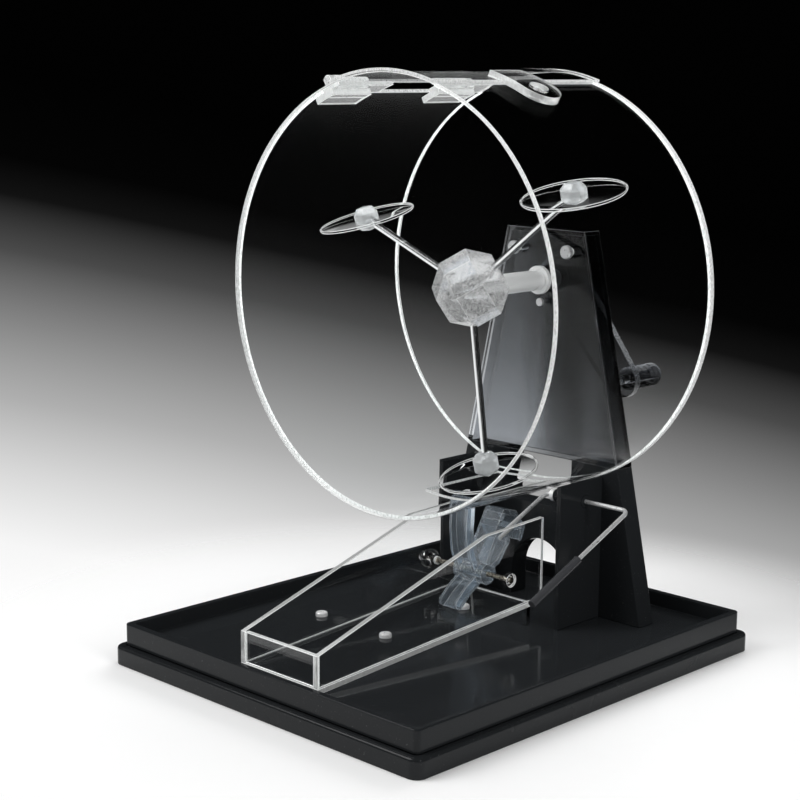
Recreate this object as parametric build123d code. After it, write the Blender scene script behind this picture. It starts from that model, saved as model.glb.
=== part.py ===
from build123d import *
from math import atan2, cos, degrees, radians, sin, sqrt
import os

os.makedirs("parts", exist_ok=True)

# Clearances
RUN_GAP = 0.05
FIT_GAP = 0.02
SEAT_GAP = 0.3

# Base
BASE_W = 229.0
BASE_L = 268.0
SLAB_H = 10.5
SLAB_CORNER = 6.0
STEP_INSET = 4.5
RIM_Z = 22.5
RIM_T = 4.0
FLOOR_Z = 14.1
STEP_CORNER = 3.0
GROOVE_W = 2.0
GROOVE_D = 1.2
BASE_SCREWS = ((-66.0, -26.0), (-10.0, -31.0), (-15.5, 37.5))

# Drum
DRUM_BOTTOM = 87.0
DRUM_R = 115.0
AXIS_Z = DRUM_BOTTOM + DRUM_R
SHEET_T = 3.0
WALL_T = 2.0
DRUM_Y0 = -45.1
DRUM_Y1 = 84.7
OPENING_FAR = -24.0
OPENING_NEAR = 17.0
OUTLET_W = 36.0
OUTLET_Y0 = 9.0
OUTLET_Y1 = 70.0

# Column and its foot
COLUMN_Y0 = 85.0
COLUMN_D = 13.0
COLUMN_RISE = 28.5
COLUMN_TOP = AXIS_Z + COLUMN_RISE
COLUMN_FLOOR_HALF = 74.5
COLUMN_TAPER = 0.2155
COLUMN_WALL = 2.5
FOOT_TOP = 101.0
ARCH_R = 21.0
ARCH_Z = 30.0
NOTCH_HALF = 23.0
NOTCH_Z = 72.0
NOTCH_CORNER = 4.0

# Cheeks that carry the drum
CHEEK_X = 45.5
CHEEK_T = 3.0
CHEEK_Y0 = 49.0

# Spindle and crank
SPINDLE_R = 3.0
BUSH_R = 5.0
FLANGE_R = 8.0
FLANGE_T = 2.5
SLEEVE_R = 5.7
CRANK_T = 5.0
CRANK_LEN = 70.0
CRANK_ANGLE = -50.0
CRANK_R0 = 14.0
CRANK_R1 = 10.0
NUT_AF = 10.0
NUT_H = 5.0
GRIP_R = 6.5
GRIP_L = 24.0
GRIP_PIN_R = 2.5

# Agitator
HUB_Y = 23.5
HUB_SIZE = 37.0
HUB_TURN = 8.0
ARM_ANGLES = (38.0, 158.0, 278.0)
ARM_R = 1.9
ARM_INNER = 12.0
ARM_SHORT = 2.0
SOCKET = 13.0
SOCKET_CHAMFER = 3.4
PADDLE_R = 27.5
PADDLE_T = 1.6
PADDLE_RIM_W = 1.4
PADDLE_RIM_T = 2.4
PADDLE_SLOPES = (0.0, 8.0, 4.0)
PADDLE_SHIFTS = (0.0, 0.0, -5.5)
PADDLE_NOD = 14.0
PADDLE_GAP = 1.6

# Lid
LID_T = 1.5
LID_FAR = -19.6
LID_NEAR = 18.0
HINGE_ANGLE = -21.5
HINGE_R = DRUM_R + 3.3
PIN_R = 1.2
KNUCKLE_R = 2.6
TAB_T = 4.0
TAB_ANGLE = 25.0
TAB_Y = 17.0
TAB_HALF = 12.0
TAB_HOLE_R = 5.0
TAB_ROOT = 24.0

# Chute
CHUTE_HALF = 29.0
CHUTE_T = 3.0
CHUTE_SETBACK = 18.0
CHUTE_Y0 = CHUTE_SETBACK - BASE_L / 2
CHUTE_Y1 = 55.0
CHUTE_TILT = 3.8
CHUTE_FRONT_H = 17.0
CHUTE_BEND_Y = 8.0
CHUTE_BEND_Z = 72.5
CHUTE_BACK_Z = 74.5
RISER_Y = 42.0

# Lever
LEVER_Y = 70.5
LEVER_Z = 83.7
WIRE_R = 1.2
WIRE_BEND = 4.0
LEVER_OUT_X = 75.0
LEVER_IN_X = 17.5
LEVER_ARM = 87.0
LEVER_DROP = 24.0
LEVER_IN_ARM = 45.0
LEVER_GRIP_R = 2.3
LEVER_GRIP_L = 41.0
BOSS_R = 3.6
BOSS_X = 25.0
COLLAR_T = 2.5

# Rocker
ROCKER_Y = 28.5
ROCKER_Z = 43.5
ROCKER_HALF = 6.5
ROCKER_WEB = 2.0
ROCKER_FLANGE = 1.6
BARREL_R = 6.0
BARREL_HALF = 10.5
PIVOT_R = 2.0
LIMB_T = 6.0
LOOP_T = 3.0
KNOB_R = 6.0
KNOB_SUNK = 0.6
KNOB_BORE = 5.0
PEG_Y = 44.5
PEG_Z = 68.7
PEG_R = 1.6

# Centre lines of the rocker's limbs in Y and Z, from its pivot
TINE = ((-4.0, 3.0), (-8.0, 13.0), (-9.5, 26.0), (-8.5, 41.0))
FOOT = ((-3.0, -3.0), (-12.0, -8.5), (-18.5, -14.4))
LOOP_FRONT = ((3.0, 3.0), (9.0, 14.0), (15.5, 25.5))
LOOP_BACK = ((15.5, 25.5), (21.0, 14.0), (13.0, 4.0), (3.0, 0.0))
HOOK = ((15.5, 25.5), (19.0, 31.0), (28.0, 29.0), (34.0, 21.0), (31.5, 14.0))

# Screws on the back disc
DISC_SCREW_X = 19.0
DISC_SCREW_Z = 17.0
DISC_SCREW_R = 2.0
DISC_SCREW_L = 11.0

# Spans along Y of the lid's hinge: brackets, their ears, the lid's knuckles
BRACKET_SPANS = ((-42.0, -2.0), (38.0, 78.0))
STEP_SPANS = ((-42.0, -14.0), (38.0, 67.0))
EAR_SPANS = ((-42.0, -37.0), (62.0, 67.0))
KNUCKLE_SPANS = ((-36.5, -14.0), (38.0, 61.5))


def sector(radius, start, stop):
    """Pie slice of the drum's cross-section between two angles from the top."""
    count = max(2, int(abs(stop - start) // 20) + 2)
    steps = [start + (stop - start) * i / (count - 1) for i in range(count)]
    rim = [(radius * sin(radians(a)), radius * cos(radians(a))) for a in steps]
    return make_face(Polyline((0, 0), *rim, (0, 0)))


def along_y(sketch, y0, y1):
    """Extrude an X-Z sketch, drawn about the drum's axis, from y0 to y1."""
    plane = Plane(origin=(0, y0, AXIS_Z), x_dir=(1, 0, 0), z_dir=(0, -1, 0))
    return extrude(plane * sketch, amount=-(y1 - y0))


def ring_y(r_in, r_out, y0, y1, x=0.0, z=0.0):
    """Tube along Y about the drum's axis, moved by x and z."""
    sketch = Pos(x, z) * Circle(r_out)
    if r_in > 0:
        sketch -= Pos(x, z) * Circle(r_in)
    return along_y(sketch, y0, y1)


def ring_x(r_in, r_out, x0, x1, y, z):
    """Tube along X through the point y, z."""
    plane = Plane(origin=(x0, y, z), x_dir=(0, 1, 0), z_dir=(1, 0, 0))
    sketch = Circle(r_out)
    if r_in > 0:
        sketch -= Circle(r_in)
    return extrude(plane * sketch, amount=x1 - x0)


def box(x0, x1, y0, y1, z0, z1):
    """Box between two corners."""
    return Pos((x0 + x1) / 2, (y0 + y1) / 2, (z0 + z1) / 2) * Box(x1 - x0, y1 - y0, z1 - z0)


def polar(radius, angle):
    """X and Z of a point on the drum, by radius and angle from the top."""
    return radius * sin(radians(angle)), radius * cos(radians(angle))


def base_skirt():
    """Lower slab with a rounded lip and a groove round the step."""
    slab = extrude(RectangleRounded(BASE_W, BASE_L, SLAB_CORNER), SLAB_H)
    slab = fillet(slab.faces().sort_by(Axis.Z)[-1].edges(), 2.0)
    inner_w = BASE_W - 2 * STEP_INSET
    inner_l = BASE_L - 2 * STEP_INSET
    groove = RectangleRounded(inner_w + 0.2, inner_l + 0.2, STEP_CORNER)
    groove -= RectangleRounded(inner_w - 2 * GROOVE_W, inner_l - 2 * GROOVE_W, STEP_CORNER)
    return slab - Pos(0, 0, SLAB_H - GROOVE_D) * extrude(groove, GROOVE_D)


def base_tray():
    """Upper step with its sunk floor and raised rim."""
    width = BASE_W - 2 * STEP_INSET
    length = BASE_L - 2 * STEP_INSET
    body = Pos(0, 0, SLAB_H) * extrude(RectangleRounded(width, length, STEP_CORNER), RIM_Z - SLAB_H)
    sunk = RectangleRounded(width - 2 * RIM_T, length - 2 * RIM_T, STEP_CORNER - 1)
    body -= Pos(0, 0, FLOOR_Z) * extrude(sunk, RIM_Z - FLOOR_Z + 1)
    return fillet(body.faces().sort_by(Axis.Z)[-1].edges(), 0.8)


def pan_screw(head_r, head_h):
    """Screw head with a cross slot, standing on the X-Y plane."""
    head = extrude(Circle(head_r), head_h)
    head = fillet(head.faces().sort_by(Axis.Z)[-1].edges(), head_h * 0.45)
    for turn in (0, 90):
        head -= Pos(0, 0, head_h) * Rot(0, 0, turn) * Box(head_r * 1.2, 0.9, 1.6)
    return head


def base_screws():
    """Screw heads on the tray's floor."""
    return [Pos(x, y, FLOOR_Z) * pan_screw(3.4, 2.4) for x, y in BASE_SCREWS]


def column_half(z):
    """Half width of the tapered column at a height."""
    return COLUMN_FLOOR_HALF - COLUMN_TAPER * (z - FLOOR_Z)


def trapezoid(z0, z1, inset=0.0):
    """Column outline between two heights, in X and world Z."""
    low = column_half(z0) - inset
    high = column_half(z1) - inset
    return make_face(Polyline((-low, z0), (low, z0), (high, z1), (-high, z1), (-low, z0)))


def plate_y(sketch, y0, y1):
    """Extrude an X-Z sketch with world heights from y0 to y1."""
    plane = Plane(origin=(0, y0, 0), x_dir=(1, 0, 0), z_dir=(0, -1, 0))
    return extrude(plane * sketch, amount=-(y1 - y0))


def column_foot():
    """Black foot of the column with the arch and the notch."""
    sketch = trapezoid(FLOOR_Z, FOOT_TOP)
    sketch -= Pos(0, ARCH_Z) * Circle(ARCH_R)
    sketch -= Pos(0, (ARCH_Z + FLOOR_Z) / 2 - 1) * Rectangle(2 * ARCH_R, ARCH_Z - FLOOR_Z + 2)
    sketch -= Pos(0, FOOT_TOP) * RectangleRounded(2 * NOTCH_HALF, 2 * (FOOT_TOP - NOTCH_Z), NOTCH_CORNER)
    return plate_y(sketch, COLUMN_Y0, COLUMN_Y0 + COLUMN_D)


def cheeks():
    """Two side walls in front of the foot, cut to the drum's curve."""
    seat = ring_y(0, DRUM_R + SEAT_GAP, DRUM_Y0, COLUMN_Y0)
    wall = box(CHEEK_X - CHEEK_T, CHEEK_X, CHEEK_Y0, COLUMN_Y0, FLOOR_Z, AXIS_Z) - seat
    bore = ring_x(0, BOSS_R, 0, CHEEK_X + 1, LEVER_Y, LEVER_Z)
    return [wall - bore, mirror(wall, Plane.YZ)]


def lever_boss():
    """Bearing tube for the lever's shaft, held in the near cheek."""
    inner = CHEEK_X - CHEEK_T
    tube = ring_x(WIRE_R + RUN_GAP, BOSS_R - FIT_GAP, BOSS_X, CHEEK_X, LEVER_Y, LEVER_Z)
    return tube + ring_x(BOSS_R - FIT_GAP, BOSS_R + 1.4, inner - 2.0, inner, LEVER_Y, LEVER_Z)


def column():
    """Smoky tapered shell above the foot, open below."""
    y1 = COLUMN_Y0 + COLUMN_D
    body = plate_y(trapezoid(FOOT_TOP, COLUMN_TOP), COLUMN_Y0, y1)
    hollow = trapezoid(FOOT_TOP - 1, COLUMN_TOP - COLUMN_WALL, COLUMN_WALL)
    body -= plate_y(hollow, COLUMN_Y0 + COLUMN_WALL, y1 - COLUMN_WALL)
    body -= ring_y(0, BUSH_R + FIT_GAP, COLUMN_Y0 - 1, y1 + 1)
    for x in (-DISC_SCREW_X, DISC_SCREW_X):
        body -= ring_y(0, DISC_SCREW_R + FIT_GAP, COLUMN_Y0 - 1, COLUMN_Y0 + 6, x, DISC_SCREW_Z)
    return body


def drum_front():
    """Clear front disc."""
    return ring_y(0, DRUM_R, DRUM_Y0, DRUM_Y0 + SHEET_T)


def drum_back():
    """Clear back disc with holes for the bush and the screws."""
    disc = ring_y(BUSH_R + FIT_GAP, DRUM_R, DRUM_Y1 - SHEET_T, DRUM_Y1)
    for x in (-DISC_SCREW_X, DISC_SCREW_X):
        disc -= ring_y(0, DISC_SCREW_R + FIT_GAP, DRUM_Y1 - 5, DRUM_Y1 + 1, x, DISC_SCREW_Z)
    return disc


def drum_wall():
    """Clear curved wall with the loading opening and the outlet."""
    wall = ring_y(DRUM_R - WALL_T, DRUM_R, DRUM_Y0 + SHEET_T, DRUM_Y1 - SHEET_T)
    wall -= along_y(sector(DRUM_R * 1.3, OPENING_FAR, OPENING_NEAR), DRUM_Y0, DRUM_Y1)
    half = OUTLET_W / 2
    return wall - box(-half, half, OUTLET_Y0, OUTLET_Y1, 0, AXIS_Z)


def disc_screws():
    """Two round screws that hold the back disc to the column."""
    y0 = DRUM_Y1 - SHEET_T
    screws = []
    for x in (-DISC_SCREW_X, DISC_SCREW_X):
        head = ring_y(0, 3.8, y0 - 2.4, y0, x, DISC_SCREW_Z)
        head = fillet(head.faces().sort_by(Axis.Y)[0].edges(), 0.8)
        shank = ring_y(0, DISC_SCREW_R, y0, y0 + DISC_SCREW_L, x, DISC_SCREW_Z)
        screws.append(head + shank)
    return screws


def axle_bushes():
    """Flanged bushes in the back disc and in the column's rear wall."""
    y0 = DRUM_Y1 - SHEET_T
    y1 = COLUMN_Y0 + COLUMN_D
    bore = SPINDLE_R + RUN_GAP
    front = ring_y(bore, BUSH_R, y0, COLUMN_Y0 + COLUMN_WALL + 1.5)
    front += ring_y(bore, FLANGE_R, y0 - FLANGE_T, y0)
    rear = ring_y(bore, BUSH_R, y1 - COLUMN_WALL - 1.5, y1)
    rear += ring_y(bore, FLANGE_R, y1, y1 + 1.5)
    return [front, rear]


def flange_screw():
    """Small screw head under the flange."""
    y0 = DRUM_Y1 - SHEET_T
    return ring_y(0, 2.2, y0 - 1.8, y0, 1.0, -12.5)


def hub_cut():
    """Chamfer that gives the hub's block facets of nearly equal width."""
    return 0.98 * HUB_SIZE / (2 + sqrt(2))


def hub_back():
    """Y of the small facet at the hub's back corner."""
    return HUB_Y + (1.5 * HUB_SIZE - 2 * hub_cut()) / sqrt(3)


def hub():
    """Faceted clear block with one corner towards the front."""
    lean = degrees(atan2(1, sqrt(2)))
    body = chamfer(Box(HUB_SIZE, HUB_SIZE, HUB_SIZE).edges(), hub_cut())
    body = Pos(0, HUB_Y, AXIS_Z) * Rot(0, -HUB_TURN, 0) * Rot(lean, 0, 0) * Rot(0, 0, 45) * body
    body -= ring_y(0, SPINDLE_R + FIT_GAP, HUB_Y - 8, hub_back() + 5)
    for angle in ARM_ANGLES:
        body -= arm_rod(angle, ARM_R + FIT_GAP, ARM_INNER, HUB_SIZE)
    return body


def arm_plane(angle, reach):
    """Plane on an arm at a distance from the axis, normal along the arm."""
    out = Vector(cos(radians(angle)), 0, sin(radians(angle)))
    return Plane(origin=Vector(0, HUB_Y, AXIS_Z) + out * reach, x_dir=(0, 1, 0), z_dir=out)


def arm_rod(angle, radius, start, stop):
    """Straight round rod along an arm."""
    return extrude(arm_plane(angle, start) * Circle(radius), stop - start)


def arm_reach(angle, slope, shift):
    """Arm length that keeps the tilted paddle's rim inside the drum."""
    turn = radians(angle - slope)
    along = PADDLE_R * cos(turn)
    across = PADDLE_R * sin(turn)
    inside = DRUM_R - WALL_T - PADDLE_GAP
    extent = sqrt(along**2 + (across * sin(radians(PADDLE_NOD))) ** 2)
    return inside - extent - across**2 / (2 * inside) - shift * sin(turn)


def arm_rods():
    """Three bright rods from the hub to the paddle sockets."""
    settings = zip(ARM_ANGLES, PADDLE_SLOPES, PADDLE_SHIFTS)
    return [arm_rod(s[0], ARM_R, ARM_INNER, arm_reach(*s) - ARM_SHORT) for s in settings]


def paddle(angle, slope, shift):
    """Clear rimmed disc with a faceted socket on the end of an arm."""
    reach = arm_reach(angle, slope, shift)
    out = Vector(cos(radians(angle)), 0, sin(radians(angle)))
    centre = Vector(0, HUB_Y, AXIS_Z) + out * reach
    place = Location(centre) * Rot(0, -slope, 0) * Rot(PADDLE_NOD, 0, 0)
    socket = chamfer(Box(SOCKET, SOCKET, SOCKET).edges(), SOCKET_CHAMFER)
    disc = Pos(0, 0, shift - PADDLE_T / 2) * extrude(Circle(PADDLE_R - 0.5), PADDLE_T)
    rim = extrude(Circle(PADDLE_R) - Circle(PADDLE_R - PADDLE_RIM_W), PADDLE_RIM_T)
    body = socket + disc + Pos(0, 0, shift - PADDLE_RIM_T / 2) * rim
    return place * body - arm_rod(angle, ARM_R + FIT_GAP, reach - SOCKET, reach - ARM_SHORT + FIT_GAP)


def paddles():
    """The three paddles."""
    return [paddle(*setting) for setting in zip(ARM_ANGLES, PADDLE_SLOPES, PADDLE_SHIFTS)]


def axle_sleeve():
    """White spacer tube on the spindle."""
    front = DRUM_Y1 - SHEET_T - FLANGE_T - SEAT_GAP
    return ring_y(SPINDLE_R + FIT_GAP, SLEEVE_R, hub_back(), front)


def crank_y():
    """Front face of the crank arm, behind the rear bush."""
    return COLUMN_Y0 + COLUMN_D + 1.5 + SEAT_GAP


def spindle():
    """Steel spindle from the hub to the cap nut."""
    return ring_y(0, SPINDLE_R, HUB_Y - 8, crank_y() + CRANK_T + NUT_H - 1.5)


def crank_end():
    """Offset of the crank's grip axis from the spindle, in X and Z."""
    turn = radians(CRANK_ANGLE)
    return CRANK_LEN * cos(turn), CRANK_LEN * sin(turn)


def crank_arm():
    """Tapered flat arm behind the column."""
    x, z = crank_end()
    y0 = crank_y()
    sketch = make_hull((Circle(CRANK_R0).edges() + (Pos(x, z) * Circle(CRANK_R1)).edges()))
    sketch -= Circle(SPINDLE_R + FIT_GAP)
    sketch -= Pos(x, z) * Circle(GRIP_PIN_R + FIT_GAP)
    arm = along_y(sketch, y0, y0 + CRANK_T)
    return fillet(arm.faces().sort_by(Axis.Y)[-1].outer_wire().edges(), 1.2)


def crank_nut():
    """Domed nut that holds the arm on the spindle."""
    y0 = crank_y() + CRANK_T
    hexagon = RegularPolygon(NUT_AF / 2, 6, major_radius=False)
    nut = along_y(hexagon, y0, y0 + NUT_H)
    dome = Pos(0, y0 + NUT_H, AXIS_Z) * Sphere(NUT_AF / 2 - 0.6)
    bore = ring_y(0, SPINDLE_R + FIT_GAP, y0 - 1, y0 + NUT_H - 1.5 + FIT_GAP)
    return nut + dome - bore


def grip_pin():
    """Fixed pin and end washer that the crank's grip turns on."""
    x, z = crank_end()
    y0 = crank_y()
    y1 = y0 + CRANK_T + GRIP_L + 2 * SEAT_GAP
    return ring_y(0, GRIP_PIN_R, y0, y1, x, z) + ring_y(0, 4.6, y1, y1 + 1.8, x, z)


def crank_grip():
    """Barrel-shaped grip that turns freely on its pin."""
    x, z = crank_end()
    y0 = crank_y() + CRANK_T + SEAT_GAP
    grip = ring_y(0, GRIP_R, y0, y0 + GRIP_L, x, z)
    grip = fillet(grip.edges(), 1.5)
    for i in range(3):
        y = y0 + GRIP_L * (0.3 + 0.2 * i)
        grip -= ring_y(GRIP_R - 0.6, GRIP_R + 1, y - 0.8, y + 0.8, x, z)
    return grip - ring_y(0, GRIP_PIN_R + RUN_GAP, y0 - 1, y0 + GRIP_L + 1, x, z)


def shell(r_in, r_out, start, stop, y0, y1):
    """Part of a tube round the drum between two angles."""
    body = ring_y(r_in, r_out, y0, y1)
    return body & along_y(sector(r_out * 1.3, start, stop), y0 - 1, y1 + 1)


def lid():
    """Curved clear lid with two hinge knuckles along its far edge."""
    r_in = DRUM_R + SEAT_GAP
    sheet = shell(r_in, r_in + LID_T, LID_FAR, LID_NEAR, DRUM_Y0, DRUM_Y1 - 0.3)
    hx, hz = polar(HINGE_R, HINGE_ANGLE)
    for y0, y1 in KNUCKLE_SPANS:
        sheet += shell(r_in + 0.5, r_in + LID_T, HINGE_ANGLE + 0.3, LID_FAR + 0.5, y0, y1)
        sheet += ring_y(0, KNUCKLE_R, y0, y1, hx, hz)
    for y0, y1 in KNUCKLE_SPANS:
        sheet -= ring_y(0, PIN_R + RUN_GAP, y0 - 1, y1 + 1, hx, hz)
    return sheet - tab_block(FIT_GAP)


def lid_pin():
    """Hinge pin through the ears and the knuckles."""
    hx, hz = polar(HINGE_R, HINGE_ANGLE)
    return ring_y(0, PIN_R, EAR_SPANS[0][0] - 1.5, EAR_SPANS[1][1] + 1.0, hx, hz)


def lid_bracket(span, step, ear):
    """Stepped clear block at the opening's far edge with an ear for the pin."""
    r_wall = DRUM_R - WALL_T
    hx, hz = polar(HINGE_R, HINGE_ANGLE)
    body = shell(r_wall, DRUM_R, OPENING_FAR, LID_FAR + 2.0, *span)
    body += shell(r_wall - 3.5, r_wall, OPENING_FAR - 3.5, LID_FAR - 1.0, *step)
    body += shell(DRUM_R, HINGE_R, HINGE_ANGLE - 1.2, HINGE_ANGLE + 1.2, *ear)
    body += ring_y(0, KNUCKLE_R, *ear, hx, hz)
    return body - ring_y(0, PIN_R + FIT_GAP, ear[0] - 1, ear[1] + 1, hx, hz)


def lid_brackets():
    """Front and back hinge brackets."""
    return [lid_bracket(*spans) for spans in zip(BRACKET_SPANS, STEP_SPANS, EAR_SPANS)]


def tab_block(grow):
    """Tab's outline bent to the lid's curve, grown by a clearance."""
    r_in = DRUM_R + SEAT_GAP
    x, z = polar(r_in - 10, TAB_ANGLE)
    out = (sin(radians(TAB_ANGLE)), 0, cos(radians(TAB_ANGLE)))
    plane = Plane(origin=(x, TAB_Y, AXIS_Z + z), x_dir=(0, 1, 0), z_dir=out)
    half = TAB_HALF + grow
    outline = Circle(half) + Pos(0, (TAB_ROOT + grow) / 2) * Rectangle(2 * half, TAB_ROOT + grow)
    return extrude(plane * outline, 30) & ring_y(r_in, r_in + TAB_T, DRUM_Y0, DRUM_Y1)


def lid_tab():
    """Thick clear finger tab with a round hole, set in the lid's near edge."""
    x, z = polar(DRUM_R, TAB_ANGLE)
    out = (sin(radians(TAB_ANGLE)), 0, cos(radians(TAB_ANGLE)))
    hole = Plane(origin=(x, TAB_Y, AXIS_Z + z), z_dir=out)
    return tab_block(0) - extrude(hole * Circle(TAB_HOLE_R), 20, both=True)


def chute_floor_z(y):
    """Height of the chute floor's underside."""
    return FLOOR_Z + SEAT_GAP + (y - CHUTE_Y0) * sin(radians(CHUTE_TILT)) / cos(radians(CHUTE_TILT))


def side_plate(points, x0, x1):
    """Plate between x0 and x1 with an outline in Y and Z."""
    plane = Plane(origin=(x0, 0, 0), x_dir=(0, 1, 0), z_dir=(1, 0, 0))
    face = make_face(Polyline(*points, points[0]))
    return extrude(plane * face, amount=x1 - x0)


def chute_floor():
    """Sloping clear floor of the chute."""
    points = [(CHUTE_Y0, chute_floor_z(CHUTE_Y0)), (RISER_Y + 3, chute_floor_z(RISER_Y + 3))]
    points += [(y, z + CHUTE_T) for y, z in reversed(points)]
    return side_plate(points, -CHUTE_HALF, CHUTE_HALF)


def chute_walls():
    """Two tapered side walls standing on the floor's edges."""
    z0 = chute_floor_z(CHUTE_Y0) + CHUTE_T
    z1 = chute_floor_z(CHUTE_Y1) + CHUTE_T
    points = [(CHUTE_Y0, z0), (CHUTE_Y1, z1), (CHUTE_Y1, CHUTE_BACK_Z)]
    points += [(CHUTE_BEND_Y, CHUTE_BEND_Z), (CHUTE_Y0, z0 + CHUTE_FRONT_H)]
    wall = side_plate(points, CHUTE_HALF - CHUTE_T, CHUTE_HALF)
    wall -= ring_x(0, PIVOT_R + FIT_GAP, 0, CHUTE_HALF + 1, ROCKER_Y, ROCKER_Z)
    far = mirror(wall, Plane.YZ)
    sink = ring_x(0, 3.6 + FIT_GAP, CHUTE_HALF - 1.6, CHUTE_HALF + 1, ROCKER_Y, ROCKER_Z)
    return [wall - sink, far]


def chute_front():
    """Low wall across the chute's mouth."""
    inner = CHUTE_HALF - CHUTE_T
    z0 = chute_floor_z(CHUTE_Y0) + CHUTE_T
    z1 = chute_floor_z(CHUTE_Y0 + CHUTE_T) + CHUTE_T
    points = [(CHUTE_Y0, z0), (CHUTE_Y0 + CHUTE_T, z1)]
    points += [(CHUTE_Y0 + CHUTE_T, z0 + CHUTE_FRONT_H), (CHUTE_Y0, z0 + CHUTE_FRONT_H)]
    return side_plate(points, -inner, inner)


def chute_riser():
    """Upright strip that holds up the floor's back end."""
    y1 = RISER_Y + CHUTE_T
    points = [(RISER_Y, FLOOR_Z), (y1, FLOOR_Z), (y1, chute_floor_z(y1)), (RISER_Y, chute_floor_z(RISER_Y))]
    return side_plate(points, -CHUTE_HALF, CHUTE_HALF)


def pivot_screw():
    """Countersunk screw across the chute that the rocker turns on."""
    shank = ring_x(0, PIVOT_R, -CHUTE_HALF - KNOB_BORE, CHUTE_HALF - 1.6, ROCKER_Y, ROCKER_Z)
    return shank + ring_x(0, 3.6, CHUTE_HALF - 1.6, CHUTE_HALF, ROCKER_Y, ROCKER_Z)


def pivot_knob():
    """Clear ball nut on the screw's far end, flat where it meets the chute."""
    ball = Pos(-CHUTE_HALF - KNOB_R + KNOB_SUNK) * Circle(KNOB_R)
    ball &= Pos(-CHUTE_HALF - KNOB_R, KNOB_R) * Rectangle(2 * KNOB_R, 2 * KNOB_R)
    ball -= Pos(-CHUTE_HALF) * Rectangle(2 * (KNOB_BORE + FIT_GAP), 2 * (PIVOT_R + FIT_GAP))
    return Pos(0, ROCKER_Y, ROCKER_Z) * revolve(ball, Axis.X)


def lever_point(reach):
    """Y and Z of a point on the lever's arms."""
    drop = radians(LEVER_DROP)
    return LEVER_Y - reach * cos(drop), LEVER_Z - reach * sin(drop)


def lever_wire():
    """Bent wire: outer arm, cross shaft, inner arm."""
    outer = Vector(LEVER_OUT_X, *lever_point(LEVER_ARM - 1.0))
    inner = Vector(LEVER_IN_X, *lever_point(LEVER_IN_ARM))
    corner_out = Vector(LEVER_OUT_X, LEVER_Y, LEVER_Z)
    corner_in = Vector(LEVER_IN_X, LEVER_Y, LEVER_Z)
    path = FilletPolyline(outer, corner_out, corner_in, inner, radius=WIRE_BEND)
    plane = Plane(origin=outer, z_dir=corner_out - outer)
    return sweep(plane * Circle(WIRE_R), path)


def lever_grip():
    """Sleeve on the outer arm with a rounded tip."""
    drop = radians(LEVER_DROP)
    start = Vector(LEVER_OUT_X, *lever_point(LEVER_ARM))
    back = Vector(0, cos(drop), sin(drop))
    plane = Plane(origin=start, x_dir=(1, 0, 0), z_dir=back)
    sleeve = extrude(plane * Circle(LEVER_GRIP_R), LEVER_GRIP_L)
    sleeve = fillet(sleeve.edges(), 0.5)
    bore = Plane(origin=start + back * (1.0 - FIT_GAP), x_dir=(1, 0, 0), z_dir=back)
    return sleeve - extrude(bore * Circle(WIRE_R + FIT_GAP), LEVER_GRIP_L)


def lever_collar():
    """Ring on the shaft at the boss's inner end."""
    x1 = BOSS_X - SEAT_GAP
    return ring_x(WIRE_R + FIT_GAP, BOSS_R, x1 - COLLAR_T, x1, LEVER_Y, LEVER_Z)


def stroke(points, width):
    """Band of constant width with round ends along points in Y and Z."""
    band = Sketch()
    for (ya, za), (yb, zb) in zip(points, points[1:]):
        length = sqrt((yb - ya) ** 2 + (zb - za) ** 2)
        turn = degrees(atan2(zb - za, yb - ya))
        band += Pos((ya + yb) / 2, (za + zb) / 2) * Rot(0, 0, turn) * Rectangle(length, width)
    for y, z in points:
        band += Pos(y, z) * Circle(width / 2)
    return band


def limb(points, width, half):
    """Stroke about the rocker's pivot, extruded evenly across X."""
    plane = Plane(origin=(-half, ROCKER_Y, ROCKER_Z), x_dir=(0, 1, 0), z_dir=(1, 0, 0))
    return extrude(plane * stroke(points, width), amount=2 * half)


def channel(points):
    """Limb hollowed from the front so that two flanges and a web remain."""
    shifted = [(y - ROCKER_WEB, z) for y, z in points]
    return limb(points, LIMB_T, ROCKER_HALF) - limb(shifted, LIMB_T, ROCKER_HALF - ROCKER_FLANGE)


def rocker():
    """Clear ejector: channelled tine and foot, loop, hooked tine and barrel."""
    body = channel(TINE) + channel(FOOT)
    for path in (LOOP_FRONT, LOOP_BACK, HOOK):
        body += limb(path, LOOP_T, ROCKER_HALF)
    body += ring_x(0, BARREL_R, -BARREL_HALF, BARREL_HALF, ROCKER_Y, ROCKER_Z)
    body += ring_x(0, PEG_R, 0, LEVER_IN_X + 3, PEG_Y, PEG_Z)
    return body - ring_x(0, PIVOT_R + RUN_GAP, -BARREL_HALF - 1, BARREL_HALF + 1, ROCKER_Y, ROCKER_Z)


NODES = {
    "base_skirt": base_skirt,
    "base_tray": base_tray,
    "base_screws": base_screws,
    "column_foot": column_foot,
    "cheeks": cheeks,
    "lever_boss": lever_boss,
    "column": column,
    "drum_front": drum_front,
    "drum_back": drum_back,
    "drum_wall": drum_wall,
    "disc_screws": disc_screws,
    "axle_bushes": axle_bushes,
    "flange_screw": flange_screw,
    "hub": hub,
    "arm_rods": arm_rods,
    "paddles": paddles,
    "axle_sleeve": axle_sleeve,
    "spindle": spindle,
    "crank_arm": crank_arm,
    "crank_nut": crank_nut,
    "grip_pin": grip_pin,
    "crank_grip": crank_grip,
    "lid": lid,
    "lid_pin": lid_pin,
    "lid_brackets": lid_brackets,
    "lid_tab": lid_tab,
    "chute_floor": chute_floor,
    "chute_walls": chute_walls,
    "chute_front": chute_front,
    "chute_riser": chute_riser,
    "pivot_screw": pivot_screw,
    "pivot_knob": pivot_knob,
    "lever_wire": lever_wire,
    "lever_grip": lever_grip,
    "lever_collar": lever_collar,
    "rocker": rocker,
}

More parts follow.
